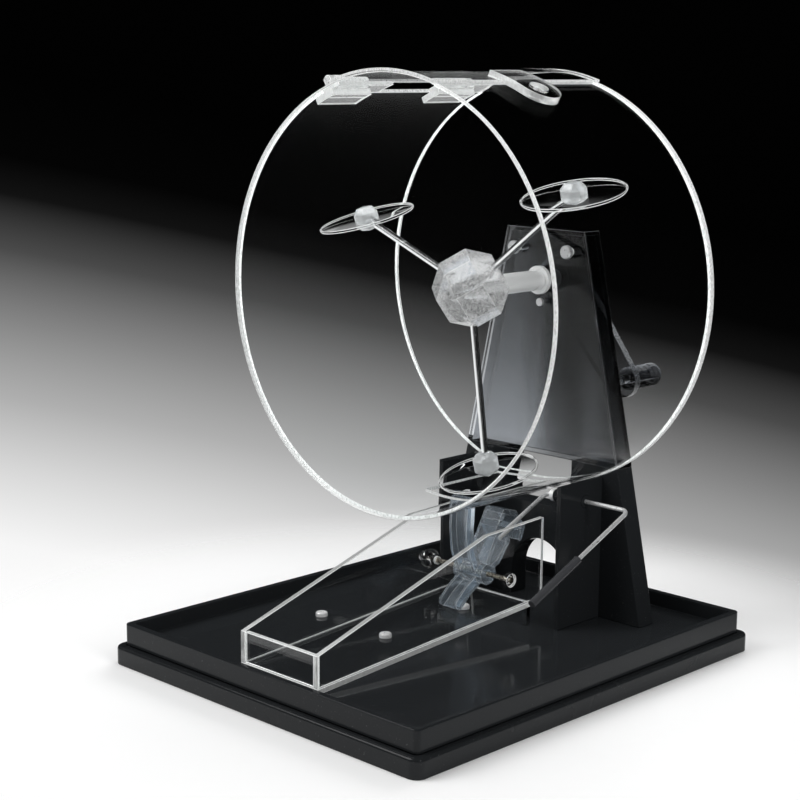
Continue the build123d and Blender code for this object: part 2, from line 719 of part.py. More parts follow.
for name, build in NODES.items():
    shape = build()
    if isinstance(shape, list):
        shape = Compound(children=[s for part in shape for s in part.solids()])
    export_step(shape, f"parts/{name}.step")
    size = [round(v, 1) for v in shape.bounding_box().size]
    print(name, len(shape.solids()), round(shape.volume, 1), size)
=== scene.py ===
import math

import bmesh
import bpy
from mathutils import Matrix, Vector


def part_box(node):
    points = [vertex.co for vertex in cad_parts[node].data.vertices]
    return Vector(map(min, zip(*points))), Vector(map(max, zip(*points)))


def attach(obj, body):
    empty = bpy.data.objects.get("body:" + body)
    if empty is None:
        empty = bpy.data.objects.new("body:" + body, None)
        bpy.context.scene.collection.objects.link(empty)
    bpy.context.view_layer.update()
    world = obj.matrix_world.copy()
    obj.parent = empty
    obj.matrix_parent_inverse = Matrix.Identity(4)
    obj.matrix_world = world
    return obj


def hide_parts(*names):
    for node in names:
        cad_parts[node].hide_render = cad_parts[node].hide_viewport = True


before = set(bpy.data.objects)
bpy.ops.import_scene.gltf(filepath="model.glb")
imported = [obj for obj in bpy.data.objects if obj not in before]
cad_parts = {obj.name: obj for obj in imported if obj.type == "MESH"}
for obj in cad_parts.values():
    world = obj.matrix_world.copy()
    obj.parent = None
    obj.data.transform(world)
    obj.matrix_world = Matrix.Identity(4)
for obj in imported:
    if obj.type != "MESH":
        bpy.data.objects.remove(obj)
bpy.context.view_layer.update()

bl_info = {
    "name": "Drawing Drum",
    "version": (1, 0, 0),
    "blender": (4, 5, 0),
    "location": "View3D > Sidebar > Drum",
    "description": "Dresses a clear hand-cranked drawing drum on its black tray base",
    "category": "Add Mesh",
}

AXIS_Z = sum(corner.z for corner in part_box("drum_front")) / 2
HUB_CENTRE = Vector((0.0, sum(corner.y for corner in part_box("arm_rods")) / 2, AXIS_Z))

# Shading turns hard above the first angle, and an edge gets its bevel above the second
SMOOTH_ANGLE = math.radians(30.0)
BEVEL_ANGLE = math.radians(40.0)

# In a CAD node's copy, faces that meet at less than this angle are joined, and points this near are one
FLAT_ANGLE = math.radians(0.4)
SAME_POINT = 2e-6

# Sides of round shapes, and steps round a wire's bend
DISC_SIDES = 96
SCREW_SIDES = 28
ROD_SIDES = 24
BEND_POINTS = 10


# ---------------------------------------------------------------- settings


class DrumSizes(bpy.types.PropertyGroup):
    """Sizes of the dressed pieces."""

    # On the clear sheets and the hub, this bevel carries a painted highlight
    sheet_chamfer: bpy.props.FloatProperty(
        name="Sheet chamfer", description="Polished bevel along the edges of clear sheets, hub and crank",
        default=0.00035, unit="LENGTH")
    body_chamfer: bpy.props.FloatProperty(
        name="Body chamfer", description="Bevel along the black mouldings' and the column's edges",
        default=0.0005, unit="LENGTH")
    # This bevel carries the rocker's painted highlight
    rocker_chamfer: bpy.props.FloatProperty(
        name="Rocker chamfer", description="Bevel along the ejector rocker's edges",
        default=0.00055, unit="LENGTH")
    paddle_radius: bpy.props.FloatProperty(
        name="Paddle radius", description="Outer radius of a paddle's disc", default=0.0275, unit="LENGTH")
    paddle_rim: bpy.props.FloatProperty(
        name="Paddle rim", description="Width of the raised rim round a paddle",
        default=0.0010, unit="LENGTH")
    paddle_rim_height: bpy.props.FloatProperty(
        name="Rim height", description="Thickness of a paddle at its rim", default=0.0016, unit="LENGTH")
    paddle_web: bpy.props.FloatProperty(
        name="Paddle web", description="Thickness of a paddle inside its rim", default=0.0010, unit="LENGTH")
    socket: bpy.props.FloatProperty(
        name="Socket size", description="Width of the faceted socket on an arm's end",
        default=0.013, unit="LENGTH")
    socket_cut: bpy.props.FloatProperty(
        name="Socket facet", description="Cut on each edge of a socket", default=0.0034, unit="LENGTH")
    arm_radius: bpy.props.FloatProperty(
        name="Arm radius", description="Radius of the bright arms", default=0.0019, unit="LENGTH")
    arm_root: bpy.props.FloatProperty(
        name="Arm root", description="Distance from the axis at which an arm starts",
        default=0.012, unit="LENGTH")
    screw_radius: bpy.props.FloatProperty(
        name="Pivot screw", description="Radius of the rocker's pivot screw", default=0.0014, unit="LENGTH")
    screw_pitch: bpy.props.FloatProperty(
        name="Thread pitch", description="Pitch of the pivot screw's thread", default=0.0007, unit="LENGTH")
    screw_head: bpy.props.FloatProperty(
        name="Screw head", description="Radius of the pivot screw's sunk head", default=0.0020, unit="LENGTH")
    wire_radius: bpy.props.FloatProperty(
        name="Wire radius", description="Radius of the lever's wire", default=0.0012, unit="LENGTH")
    wire_bend: bpy.props.FloatProperty(
        name="Wire bend", description="Bend radius of the lever's wire", default=0.004, unit="LENGTH")
    lever_drop: bpy.props.FloatProperty(
        name="Lever drop", description="How far the lever's arms point down", default=math.radians(24.0),
        subtype="ANGLE")
    lever_reach: bpy.props.FloatProperty(
        name="Lever reach", description="Length of the wire's outer arm", default=0.086, unit="LENGTH")
    lever_inner: bpy.props.FloatProperty(
        name="Inner reach", description="Length of the wire's inner arm", default=0.045, unit="LENGTH")


class DrumColours(bpy.types.PropertyGroup):
    """Colours of the finishes."""

    black: bpy.props.FloatVectorProperty(
        name="Black", description="Base, foot, cheeks and lever boss", default=(0.010, 0.011, 0.012), size=3,
        subtype="COLOR")
    smoke: bpy.props.FloatVectorProperty(
        name="Smoke", description="Column, crank arm and grip",
        default=(0.70, 0.72, 0.75), size=3, subtype="COLOR")
    smoke_edge: bpy.props.FloatVectorProperty(
        name="Column edge", description="Bevels of the smoky column", default=(0.46, 0.47, 0.49), size=3,
        subtype="COLOR")
    crank_edge: bpy.props.FloatVectorProperty(
        name="Crank edge", description="Cut edges of the crank arm", default=(0.10, 0.105, 0.11), size=3,
        subtype="COLOR")
    clear: bpy.props.FloatVectorProperty(
        name="Clear", description="Clear sheets and ball knob",
        default=(0.985, 0.99, 0.99), size=3, subtype="COLOR")
    # Pale tone of the sheets' cut edges: partly frosted cut, partly painted glow
    cut: bpy.props.FloatVectorProperty(
        name="Cut edge", description="Cut edges of the clear sheets", default=(0.90, 0.92, 0.91), size=3,
        subtype="COLOR")
    moulded: bpy.props.FloatVectorProperty(
        name="Moulded clear", description="Hub and sockets", default=(0.93, 0.955, 0.965), size=3,
        subtype="COLOR")
    bluish: bpy.props.FloatVectorProperty(
        name="Bluish clear", description="Ejector rocker",
        default=(0.74, 0.84, 0.93), size=3, subtype="COLOR")
    chrome: bpy.props.FloatVectorProperty(
        name="Chrome", description="Bright arms", default=(0.92, 0.93, 0.94), size=3, subtype="COLOR")
    steel: bpy.props.FloatVectorProperty(
        name="Steel", description="Wire, spindle, pins and screws",
        default=(0.80, 0.81, 0.82), size=3, subtype="COLOR")
    brass: bpy.props.FloatVectorProperty(
        name="Brass", description="Pivot screw", default=(0.74, 0.69, 0.60), size=3, subtype="COLOR")
    white: bpy.props.FloatVectorProperty(
        name="White", description="Spacer tube and bushes",
        default=(0.80, 0.81, 0.81), size=3, subtype="COLOR")
    sleeve: bpy.props.FloatVectorProperty(
        name="Sleeve", description="Lever sleeve", default=(0.045, 0.046, 0.05), size=3, subtype="COLOR")
    nut: bpy.props.FloatVectorProperty(
        name="Cap nut", description="Cap nut of the crank", default=(0.016, 0.016, 0.0168), size=3,
        subtype="COLOR")


class DrumStage(bpy.types.PropertyGroup):
    """Floor, backdrop, lamps and camera."""

    floor_radius: bpy.props.FloatProperty(
        name="Floor radius", description="Radius of the pale floor", default=1.6, unit="LENGTH")
    floor_clear: bpy.props.FloatProperty(
        name="Floor fade", description="Radius at which the floor starts to fade",
        default=0.165, unit="LENGTH")
    floor_gone: bpy.props.FloatProperty(
        name="Floor end", description="Radius beyond which only the backdrop shows",
        default=0.33, unit="LENGTH")
    floor_colour: bpy.props.FloatVectorProperty(
        name="Floor colour", description="Pale floor", default=(0.97, 0.97, 0.97), size=3, subtype="COLOR")
    lens: bpy.props.FloatProperty(
        name="Lens", description="Focal length of the camera in millimetres", default=79.77)
    camera_place: bpy.props.FloatVectorProperty(
        name="Camera place", description="Where the camera stands",
        default=(0.63873, -0.68168, 0.32155), size=3, subtype="TRANSLATION")
    camera_turn: bpy.props.FloatVectorProperty(
        name="Camera turn", description="Camera's XYZ rotation",
        default=(math.radians(79.206), math.radians(-0.485), math.radians(44.529)), size=3, subtype="EULER")
    backdrop_slant: bpy.props.FloatVectorProperty(
        name="Backdrop slant", description="Direction in which the backdrop darkens",
        default=(0.153, 0.150, 1.0), size=3)
    world_light: bpy.props.FloatProperty(
        name="World light", description="Plain light from all sides", default=0.42)
    key_power: bpy.props.FloatProperty(
        name="Key power", description="Soft lamp high on the left", default=16.0, subtype="POWER")
    side_power: bpy.props.FloatProperty(
        name="Side power", description="Long lamp on the right", default=7.0, subtype="POWER")
    back_power: bpy.props.FloatProperty(
        name="Back power", description="Soft lamp behind and above", default=9.0, subtype="POWER")


# ---------------------------------------------------------------- materials


class Finish:
    """A material's node tree with short calls for its usual parts."""

    def __init__(self, name):
        self.material = bpy.data.materials.new(name)
        self.material.use_nodes = True
        self.nodes = self.material.node_tree.nodes
        self.links = self.material.node_tree.links
        self.shader = self.nodes["Principled BSDF"]
        self.place = self.nodes.new("ShaderNodeTexCoord").outputs["Object"]

    def done(self, **values):
        """Set the shader's sockets by name, with underscores for spaces, and give the material."""
        for name, value in values.items():
            self.shader.inputs[name.replace("_", " ")].default_value = value
        return self.material

    def stretched(self, scale):
        """Object coordinates with a scale for each axis."""
        mapping = self.nodes.new("ShaderNodeMapping")
        mapping.inputs["Scale"].default_value = scale
        self.links.new(self.place, mapping.inputs["Vector"])
        return mapping.outputs["Vector"]

    def noise(self, scale, detail=3.0, rough=0.5, place=None):
        """Noise over the object, from 0 to 1."""
        node = self.nodes.new("ShaderNodeTexNoise")
        node.inputs["Scale"].default_value = scale
        node.inputs["Detail"].default_value = detail
        node.inputs["Roughness"].default_value = rough
        self.links.new(place or self.place, node.inputs["Vector"])
        return node.outputs["Fac"]

    def fit(self, source, low, high, start=0.3, stop=0.7):
        """Map a value from start..stop to low..high."""
        node = self.nodes.new("ShaderNodeMapRange")
        for name, value in (("From Min", start), ("From Max", stop), ("To Min", low), ("To Max", high)):
            node.inputs[name].default_value = value
        self.links.new(source, node.inputs["Value"])
        return node.outputs["Result"]

    def combined(self, operation, first, second):
        """One value from two, by an operation such as ADD or MULTIPLY."""
        node = self.nodes.new("ShaderNodeMath")
        node.operation = operation
        self.links.new(first, node.inputs[0])
        self.links.new(second, node.inputs[1])
        return node.outputs["Value"]

    def shades(self, source, first, second):
        """Blend two colours by a value and feed the base colour."""
        node = self.nodes.new("ShaderNodeMix")
        node.data_type = "RGBA"
        node.inputs["A"].default_value = (*first, 1.0)
        node.inputs["B"].default_value = (*second, 1.0)
        self.links.new(source, node.inputs["Factor"])
        self.links.new(node.outputs["Result"], self.shader.inputs["Base Color"])

    def feed(self, source, socket):
        """Feed one of the shader's sockets."""
        self.links.new(source, self.shader.inputs[socket])

    def bump(self, source, strength, distance):
        """Fine relief from a value."""
        node = self.nodes.new("ShaderNodeBump")
        node.inputs["Strength"].default_value = strength
        node.inputs["Distance"].default_value = distance
        self.links.new(source, node.inputs["Height"])
        self.links.new(node.outputs["Normal"], self.shader.inputs["Normal"])


# How much lighter a speck of dust is than the black under it
DUST = 0.07


def tinted(colour, share):
    """Colour made lighter or darker by a share."""
    return tuple(min(1.0, c * share) for c in colour)


def gloss_black(name, colour, low, high, relief, level):
    """Gloss black moulding with faint haze, dust specks and orange peel."""
    f = Finish(name)
    haze = f.noise(14.0, detail=5.0, rough=0.62)
    specks = f.noise(900.0, detail=2.0)
    dust = f.fit(specks, 0.0, 1.0, start=0.68, stop=0.80)
    f.shades(dust, colour, tuple(c + DUST for c in colour))
    f.feed(f.fit(haze, low, high), "Roughness")
    f.bump(f.noise(320.0, detail=2.0), relief, 0.0002)
    return f.done(IOR=1.45, Specular_IOR_Level=level)


def clear_sheet(name, colour, low, high, gloss, bend, wave):
    """Clear sheet with faint wiping haze, slight waves and a dimmed reflection."""
    f = Finish(name)
    haze = f.noise(20.0, detail=4.0, rough=0.6, place=f.stretched((1.0, 0.35, 1.0)))
    f.shades(haze, colour, tinted(colour, 0.985))
    f.feed(f.fit(haze, low, high, start=0.4, stop=0.75), "Roughness")
    waves = f.noise(9.0, detail=2.0, place=f.stretched((1.0, 1.0, 0.3)))
    f.bump(waves, wave, 0.01)
    return f.done(Transmission_Weight=1.0, IOR=bend, Specular_Tint=(gloss, gloss, gloss, 1.0))


def smoky_sheet(name, colour, painted_shade_way):
    """Smoky sheet in soft upright streaks, with painted shade that darkens it towards one side and the top.
    """
    f = Finish(name)
    # Painted shade: the sheet darkens along a direction, towards one side and the top
    side = f.nodes.new("ShaderNodeVectorMath")
    side.operation = "DOT_PRODUCT"
    side.inputs[1].default_value = painted_shade_way
    f.links.new(f.place, side.inputs[0])
    streaks = f.fit(f.noise(22.0, place=f.stretched((1.0, 1.0, 0.16))), -0.5, 0.5, start=0.38, stop=0.62)
    streaks_and_painted_shade = f.combined("ADD", side.outputs["Value"], streaks)
    light = f.fit(streaks_and_painted_shade, 0.0, 1.0, start=-2.1, stop=-0.7)
    # Dark and light tints of the smoke: random streaks, and painted shade and light by direction
    f.shades(light, tinted(colour, 0.28), tinted(colour, 1.30))
    f.feed(f.fit(f.noise(20.0, detail=4.0), 0.02, 0.09), "Roughness")
    return f.done(Transmission_Weight=1.0, IOR=1.50, Specular_Tint=(0.4, 0.4, 0.4, 1.0))


def cut_edge(name, colour, clearness, roughness):
    """Edge of a cut sheet with fine saw lines; the clear sheets' pale edges are partly frosted cut and partly
    painted glow.
    """
    f = Finish(name)
    lines = f.noise(1.0, detail=2.0, place=f.stretched((1500.0, 1500.0, 500.0)))
    f.shades(f.fit(lines, 0.0, 1.0, start=0.35, stop=0.65), tinted(colour, 0.86), tinted(colour, 1.10))
    f.feed(f.fit(lines, roughness * 0.7, roughness * 1.4), "Roughness")
    f.bump(lines, 0.15, 0.0001)
    return f.done(Transmission_Weight=clearness, IOR=1.49)


def moulded_clear(name, colour, clearness, low, high, scale, relief):
    """Moulded clear plastic with soft flow marks and tiny bubbles."""
    f = Finish(name)
    flow = f.noise(scale, detail=4.0, rough=0.55)
    f.shades(flow, tinted(colour, 0.93), tinted(colour, 1.04))
    f.feed(f.fit(flow, low, high), "Roughness")
    bubbles = f.noise(scale * 6.0, detail=4.0, rough=0.65)
    f.bump(bubbles, relief, 0.0004)
    return f.done(Transmission_Weight=clearness, IOR=1.49)


def tooled_clear(name, colour, pitch):
    """Moulded clear plastic with fine tool lines and scratches on every facet."""
    f = Finish(name)
    lines = f.nodes.new("ShaderNodeTexWave")
    lines.bands_direction = "DIAGONAL"
    scale = math.pi / 10 / pitch
    for label, value in (("Scale", scale), ("Distortion", 2.5), ("Detail", 3.0), ("Detail Scale", 2.0)):
        lines.inputs[label].default_value = value
    f.links.new(f.place, lines.inputs["Vector"])
    tool_lines = f.fit(lines.outputs["Fac"], 0.55, 1.0, start=0.0, stop=1.0)
    scratches = f.fit(f.noise(750.0, detail=4.0, rough=0.7), 0.1, 1.3, start=0.35, stop=0.65)
    marks = f.combined("MULTIPLY", tool_lines, scratches)
    f.shades(marks, tinted(colour, 0.66), tinted(colour, 1.08))
    f.feed(f.fit(marks, 0.03, 0.16, start=0.0, stop=1.0), "Roughness")
    f.feed(f.fit(marks, 0.98, 0.55, start=0.1, stop=1.1), "Transmission Weight")
    f.bump(marks, 0.22, 0.0003)
    return f.done(IOR=1.49)


def drawn_metal(name, colour, stretch, low, high):
    """Bright metal with fine lines from drawing or turning."""
    f = Finish(name)
    lines = f.noise(1.0, rough=0.6, place=f.stretched(stretch))
    f.shades(lines, tinted(colour, 0.88), tinted(colour, 1.08))
    f.feed(f.fit(lines, low, high), "Roughness")
    f.bump(lines, 0.05, 0.0001)
    return f.done(Metallic=1.0)


def plated(name, colour, metal):
    """Dull bright plating with fine marks, for wire and small screws."""
    f = Finish(name)
    marks = f.noise(700.0, rough=0.6)
    f.shades(marks, tinted(colour, 0.85), tinted(colour, 1.1))
    f.feed(f.fit(marks, 0.24, 0.42), "Roughness")
    f.bump(marks, 0.08, 0.0001)
    return f.done(Metallic=metal, IOR=1.8)


def plain_plastic(name, colour, low, high, grain, relief):
    """Moulded plastic with a fine grain."""
    f = Finish(name)
    clouds = f.noise(60.0, detail=4.0, rough=0.6)
    f.shades(clouds, tinted(colour, 0.88), tinted(colour, 1.12))
    f.feed(f.fit(clouds, low, high), "Roughness")
    f.bump(f.noise(grain, detail=2.0), relief, 0.0002)
    return f.done(IOR=1.5)


# Each finish by its name. Low and high are the least and the most roughness.
FINISHES = {
    "tray_black": lambda n, c: gloss_black(
        n, tinted(c.black, 1.5), low=0.05, high=0.13, relief=0.04, level=0.16),
    "skirt_black": lambda n, c: gloss_black(
        n, tinted(c.black, 1.3), low=0.16, high=0.30, relief=0.09, level=0.20),
    "foot_black": lambda n, c: gloss_black(
        n, tinted(c.black, 1.4), low=0.06, high=0.16, relief=0.04, level=0.14),
    # Direction of the column's painted shade: darker towards +X and the top, lighter towards -X and the
    # bottom
    "smoke_sheet": lambda n, c: smoky_sheet(n, c.smoke, painted_shade_way=(-22.0, 0.0, -9.0)),
    "grip_smoke": lambda n, c: clear_sheet(
        n, tinted(c.smoke, 0.75), low=0.02, high=0.06, gloss=0.2, bend=1.02, wave=0.0),
    "drum_sheet": lambda n, c: clear_sheet(n, c.clear, low=0.0, high=0.02, gloss=0.2, bend=1.03, wave=0.01),
    "clear_sheet": lambda n, c: clear_sheet(n, c.clear, low=0.0, high=0.03, gloss=0.5, bend=1.45, wave=0.01),
    "knob_clear": lambda n, c: clear_sheet(n, c.clear, low=0.0, high=0.03, gloss=1.0, bend=2.0, wave=0.6),
    "smoke_line": lambda n, c: cut_edge(n, c.smoke_edge, clearness=0.35, roughness=0.25),
    "faint_line": lambda n, c: cut_edge(n, c.crank_edge, clearness=0.6, roughness=0.25),
    # Pale, half-opaque edge faces of the clear sheets: partly frosted saw cut, partly painted glow of light
    # piped to the edge
    "cut_edge": lambda n, c: cut_edge(n, c.cut, clearness=0.18, roughness=0.30),
    "cut_soft": lambda n, c: cut_edge(n, c.cut, clearness=0.55, roughness=0.12),
    # Pale, nearly opaque bevel lines: painted highlight along the edges of the clear sheets, hub and paddle
    # rims
    "painted_highlight_line": lambda n, c: cut_edge(n, tinted(c.cut, 1.06), clearness=0.10, roughness=0.22),
    # Rocker's outlines: painted highlight, a bluish white far lighter than the rocker's own tint
    "painted_bluish_highlight": lambda n, c: cut_edge(n, tinted(c.bluish, 1.40), clearness=0.0, roughness=0.20),
    "moulded_clear": lambda n, c: moulded_clear(
        n, c.moulded, clearness=0.72, low=0.05, high=0.20, scale=90.0, relief=0.45),
    "bluish_clear": lambda n, c: moulded_clear(
        n, c.bluish, clearness=0.96, low=0.03, high=0.10, scale=110.0, relief=0.15),
    "hub_clear": lambda n, c: tooled_clear(n, c.moulded, pitch=0.0006),
    "arm_chrome": lambda n, c: drawn_metal(n, c.chrome, stretch=(900.0, 900.0, 30.0), low=0.12, high=0.22),
    "pivot_brass": lambda n, c: drawn_metal(n, c.brass, stretch=(500.0, 500.0, 500.0), low=0.18, high=0.32),
    "wire_steel": lambda n, c: plated(n, tinted(c.steel, 1.2), metal=0.65),
    "screw_steel": lambda n, c: plated(n, tinted(c.steel, 1.25), metal=0.25),
    "pin_steel": lambda n, c: plated(n, tinted(c.steel, 0.7), metal=0.55),
    "sleeve_black": lambda n, c: plain_plastic(n, c.sleeve, low=0.16, high=0.28, grain=700.0, relief=0.05),
    "spacer_white": lambda n, c: plain_plastic(n, c.white, low=0.25, high=0.40, grain=500.0, relief=0.06),
    "crank_black": lambda n, c: plain_plastic(n, c.nut, low=0.22, high=0.36, grain=600.0, relief=0.10),
}


def finish(name):
    """A finish by its name, made the first time that a piece asks for it."""
    made = bpy.data.materials.get(name)
    return made or FINISHES[name](name, bpy.context.scene.drum_colours)


# ---------------------------------------------------------------- shapes


def show(name, mesh):
    """Object at the origin for a finished mesh."""
    piece = bpy.data.objects.new(name, mesh)
    bpy.context.scene.collection.objects.link(piece)
    return piece


def stands_for(piece, body, slot, *nodes):
    """Put a piece on its body in place of the named CAD nodes."""
    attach(piece, body)
    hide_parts(*nodes)
    return piece


def soften(bm):
    """Smooth faces with sharp edges where two faces meet at more than the smooth angle."""
    for face in bm.faces:
        face.smooth = True
    for edge in bm.edges:
        edge.smooth = len(edge.link_faces) == 2 and edge.calc_face_angle(0.0) < SMOOTH_ANGLE


def merged(node):
    """Bmesh of a CAD node's copy with its doubles merged and flat faces joined."""
    bm = bmesh.new()
    bm.from_mesh(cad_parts[node].data)
    bmesh.ops.remove_doubles(bm, verts=bm.verts, dist=SAME_POINT)
    bmesh.ops.dissolve_limit(
        bm, angle_limit=FLAT_ANGLE, verts=bm.verts, edges=bm.edges, use_dissolve_boundaries=False)
    return bm


# How squarely a face has to look along a direction to be a main face of its sheet
SQUARE = 0.8
SQUARE_BENT = 0.85
# An edge whose faces meet at less than this, in radians, belongs to a hollow wall
HOLLOW_ANGLE = -0.02


def across_x(face):
    """Main faces of a sheet that stands across X."""
    return abs(face.normal.x) > SQUARE


def across_y(face):
    """Main faces of a sheet that stands across Y."""
    return abs(face.normal.y) > SQUARE


def lying(face):
    """Main faces of a sheet that lies nearly flat."""
    return abs(face.normal.z) > SQUARE


def round_drum(face):
    """Main faces of a sheet bent round the drum's axis."""
    centre = face.calc_center_median()
    out = Vector((centre.x, 0.0, centre.z - AXIS_Z)).normalized()
    return abs(face.normal.dot(out)) > SQUARE_BENT


def tab_faces(face):
    """Main faces of the finger tab, and the hollow wall of its hole."""
    return round_drum(face) or any(edge.calc_face_angle_signed(0.0) < HOLLOW_ANGLE for edge in face.edges)


def dressed(node, body, slot, is_main, faces, chamfer):
    """Copy of a CAD node with finishes for its main faces, its cut edges and its bevels."""
    bm = merged(node)
    soften(bm)
    for face in bm.faces:
        face.material_index = 0 if is_main(face) else min(1, len(faces) - 1)
    mesh = bpy.data.meshes.new(node + "_dressed")
    bm.to_mesh(mesh)
    bm.free()
    for name in faces:
        mesh.materials.append(finish(name))
    piece = show(node + "_dressed", mesh)
    bevel = piece.modifiers.new("Bevel", "BEVEL")
    bevel.width = chamfer
    bevel.segments = 2
    bevel.limit_method = "ANGLE"
    bevel.angle_limit = BEVEL_ANGLE
    bevel.harden_normals = True
    bevel.material = len(faces) - 1
    return stands_for(piece, body, slot, node)


def recoloured(node, name):
    """Give a CAD node's own mesh a finish."""
    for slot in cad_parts[node].material_slots:
        slot.material = finish(name)


def lathe(name, profile, sides):
    """Closed turned shape about Z from a profile of radius and height that starts and ends on the axis."""
    bm = bmesh.new()
    rings = []
    for radius, height in profile:
        turns = [2 * math.pi * i / sides for i in range(sides)] if radius > 0.0 else [0.0]
        rings.append([bm.verts.new((radius * math.cos(t), radius * math.sin(t), height)) for t in turns])
    for low, high in zip(rings, rings[1:]):
        for i in range(sides):
            j = (i + 1) % sides
            corners = [low[i % len(low)], low[j % len(low)], high[j % len(high)], high[i % len(high)]]
            bm.faces.new(dict.fromkeys(corners))
    bmesh.ops.recalc_face_normals(bm, faces=bm.faces)
    soften(bm)
    mesh = bpy.data.meshes.new(name)
    bm.to_mesh(mesh)
    bm.free()
    return mesh


# ---------------------------------------------------------------- node trees


def new_tree(name, inputs):
    """Geometry tree with a geometry in and out and named inputs."""
    tree = bpy.data.node_groups.new(name, "GeometryNodeTree")
    tree.interface.new_socket("Geometry", in_out="INPUT", socket_type="NodeSocketGeometry")
    for label, kind in inputs:
        tree.interface.new_socket(label, in_out="INPUT", socket_type=kind)
    tree.interface.new_socket("Geometry", in_out="OUTPUT", socket_type="NodeSocketGeometry")
    source = tree.nodes.new("NodeGroupInput")
    result = tree.nodes.new("NodeGroupOutput")
    return tree, source, result


def set_inputs(modifier, values):
    """Set a modifier's inputs by their labels, through the sockets' identifiers."""
    for item in modifier.node_group.interface.items_tree:
        if item.in_out == "INPUT" and item.name in values:
            modifier[item.identifier] = values[item.name]


def grown(name, base, tree, values):
    """Plain mesh object that a tree makes from a base mesh."""
    carrier = show(name + "_base", base)
    modifier = carrier.modifiers.new("Shape", "NODES")
    modifier.node_group = tree
    set_inputs(modifier, values)
    depsgraph = bpy.context.evaluated_depsgraph_get()
    mesh = bpy.data.meshes.new_from_object(carrier.evaluated_get(depsgraph))
    mesh.name = name
    carrier.modifiers.remove(modifier)
    bpy.data.objects.remove(carrier)
    bm = bmesh.new()
    bm.from_mesh(mesh)
    soften(bm)
    bm.to_mesh(mesh)
    bm.free()
    return show(name, mesh)


def rod_tree():
    """Round rods along the edges of the base mesh, with bent corners."""
    tree, source, result = new_tree("round_rods", (
        ("Radius", "NodeSocketFloat"), ("Bend radius", "NodeSocketFloat"), ("Sides", "NodeSocketInt"),
        ("Finish", "NodeSocketMaterial")))
    link = tree.links.new
    curve = tree.nodes.new("GeometryNodeMeshToCurve")
    fillet = tree.nodes.new("GeometryNodeFilletCurve")
    fillet.mode = "POLY"
    fillet.inputs["Count"].default_value = BEND_POINTS
    circle = tree.nodes.new("GeometryNodeCurvePrimitiveCircle")
    rod = tree.nodes.new("GeometryNodeCurveToMesh")
    rod.inputs["Fill Caps"].default_value = True
    real = tree.nodes.new("GeometryNodeRealizeInstances")
    paint = tree.nodes.new("GeometryNodeSetMaterial")
    link(source.outputs["Geometry"], curve.inputs["Mesh"])
    link(curve.outputs["Curve"], fillet.inputs["Curve"])
    link(source.outputs["Bend radius"], fillet.inputs["Radius"])
    link(fillet.outputs["Curve"], rod.inputs["Curve"])
    link(source.outputs["Radius"], circle.inputs["Radius"])
    link(source.outputs["Sides"], circle.inputs["Resolution"])
    link(circle.outputs["Curve"], rod.inputs["Profile Curve"])
    link(rod.outputs["Mesh"], real.inputs["Geometry"])
    link(real.outputs["Geometry"], paint.inputs["Geometry"])
    link(source.outputs["Finish"], paint.inputs["Material"])
    link(paint.outputs["Geometry"], result.inputs["Geometry"])
    return tree


def copies_tree():
    """Copies of one shape on the base mesh's points, turned by an attribute."""
    tree, source, result = new_tree("placed_copies", (
        ("Shape", "NodeSocketObject"), ("Finish", "NodeSocketMaterial"),
        ("Rim finish", "NodeSocketMaterial")))
    link = tree.links.new
    shape = tree.nodes.new("GeometryNodeObjectInfo")
    turn = tree.nodes.new("GeometryNodeInputNamedAttribute")
    turn.data_type = "FLOAT_VECTOR"
    turn.inputs["Name"].default_value = "turn"
    spin = tree.nodes.new("FunctionNodeEulerToRotation")
    place = tree.nodes.new("GeometryNodeInstanceOnPoints")
    real = tree.nodes.new("GeometryNodeRealizeInstances")
    rim = tree.nodes.new("GeometryNodeInputNamedAttribute")
    rim.data_type = "BOOLEAN"
    rim.inputs["Name"].default_value = "rim"
    paint = tree.nodes.new("GeometryNodeSetMaterial")
    paint_rim = tree.nodes.new("GeometryNodeSetMaterial")
    link(source.outputs["Geometry"], place.inputs["Points"])
    link(source.outputs["Shape"], shape.inputs["Object"])
    link(shape.outputs["Geometry"], place.inputs["Instance"])
    link(turn.outputs["Attribute"], spin.inputs["Euler"])
    link(spin.outputs["Rotation"], place.inputs["Rotation"])
    link(place.outputs["Instances"], real.inputs["Geometry"])
    link(real.outputs["Geometry"], paint.inputs["Geometry"])
    link(source.outputs["Finish"], paint.inputs["Material"])
    link(paint.outputs["Geometry"], paint_rim.inputs["Geometry"])
    link(rim.outputs["Attribute"], paint_rim.inputs["Selection"])
    link(source.outputs["Rim finish"], paint_rim.inputs["Material"])
    link(paint_rim.outputs["Geometry"], result.inputs["Geometry"])
    return tree


def lines_mesh(name, paths):
    """Mesh of open edge chains for the rod tree."""
    points = [point for path in paths for point in path]
    edges = []
    start = 0
    for path in paths:
        edges += [(start + i, start + i + 1) for i in range(len(path) - 1)]
        start += len(path)
    mesh = bpy.data.meshes.new(name)
    mesh.from_pydata(points, edges, [])
    return mesh


def rods(name, paths, radius, bend, name_finish):
    """Round rods along open chains of points."""
    values = {"Radius": radius, "Bend radius": bend, "Sides": ROD_SIDES, "Finish": finish(name_finish)}
    return grown(name, lines_mesh(name + "_line", paths), rod_tree(), values)


def copies(name, shape, places, name_finish, name_rim):
    """One mesh of copies of a shape, each at a point with a turn."""
    base = bpy.data.meshes.new(name + "_points")
    base.from_pydata([point for point, _ in places], [], [])
    turns = base.attributes.new("turn", "FLOAT_VECTOR", "POINT")
    for i, (_, turn) in enumerate(places):
        turns.data[i].vector = turn
    holder = show(name + "_shape", shape)
    values = {"Shape": holder, "Finish": finish(name_finish), "Rim finish": finish(name_rim)}
    made = grown(name, base, copies_tree(), values)
    bpy.data.objects.remove(holder)
    return made


# ---------------------------------------------------------------- the arms' places

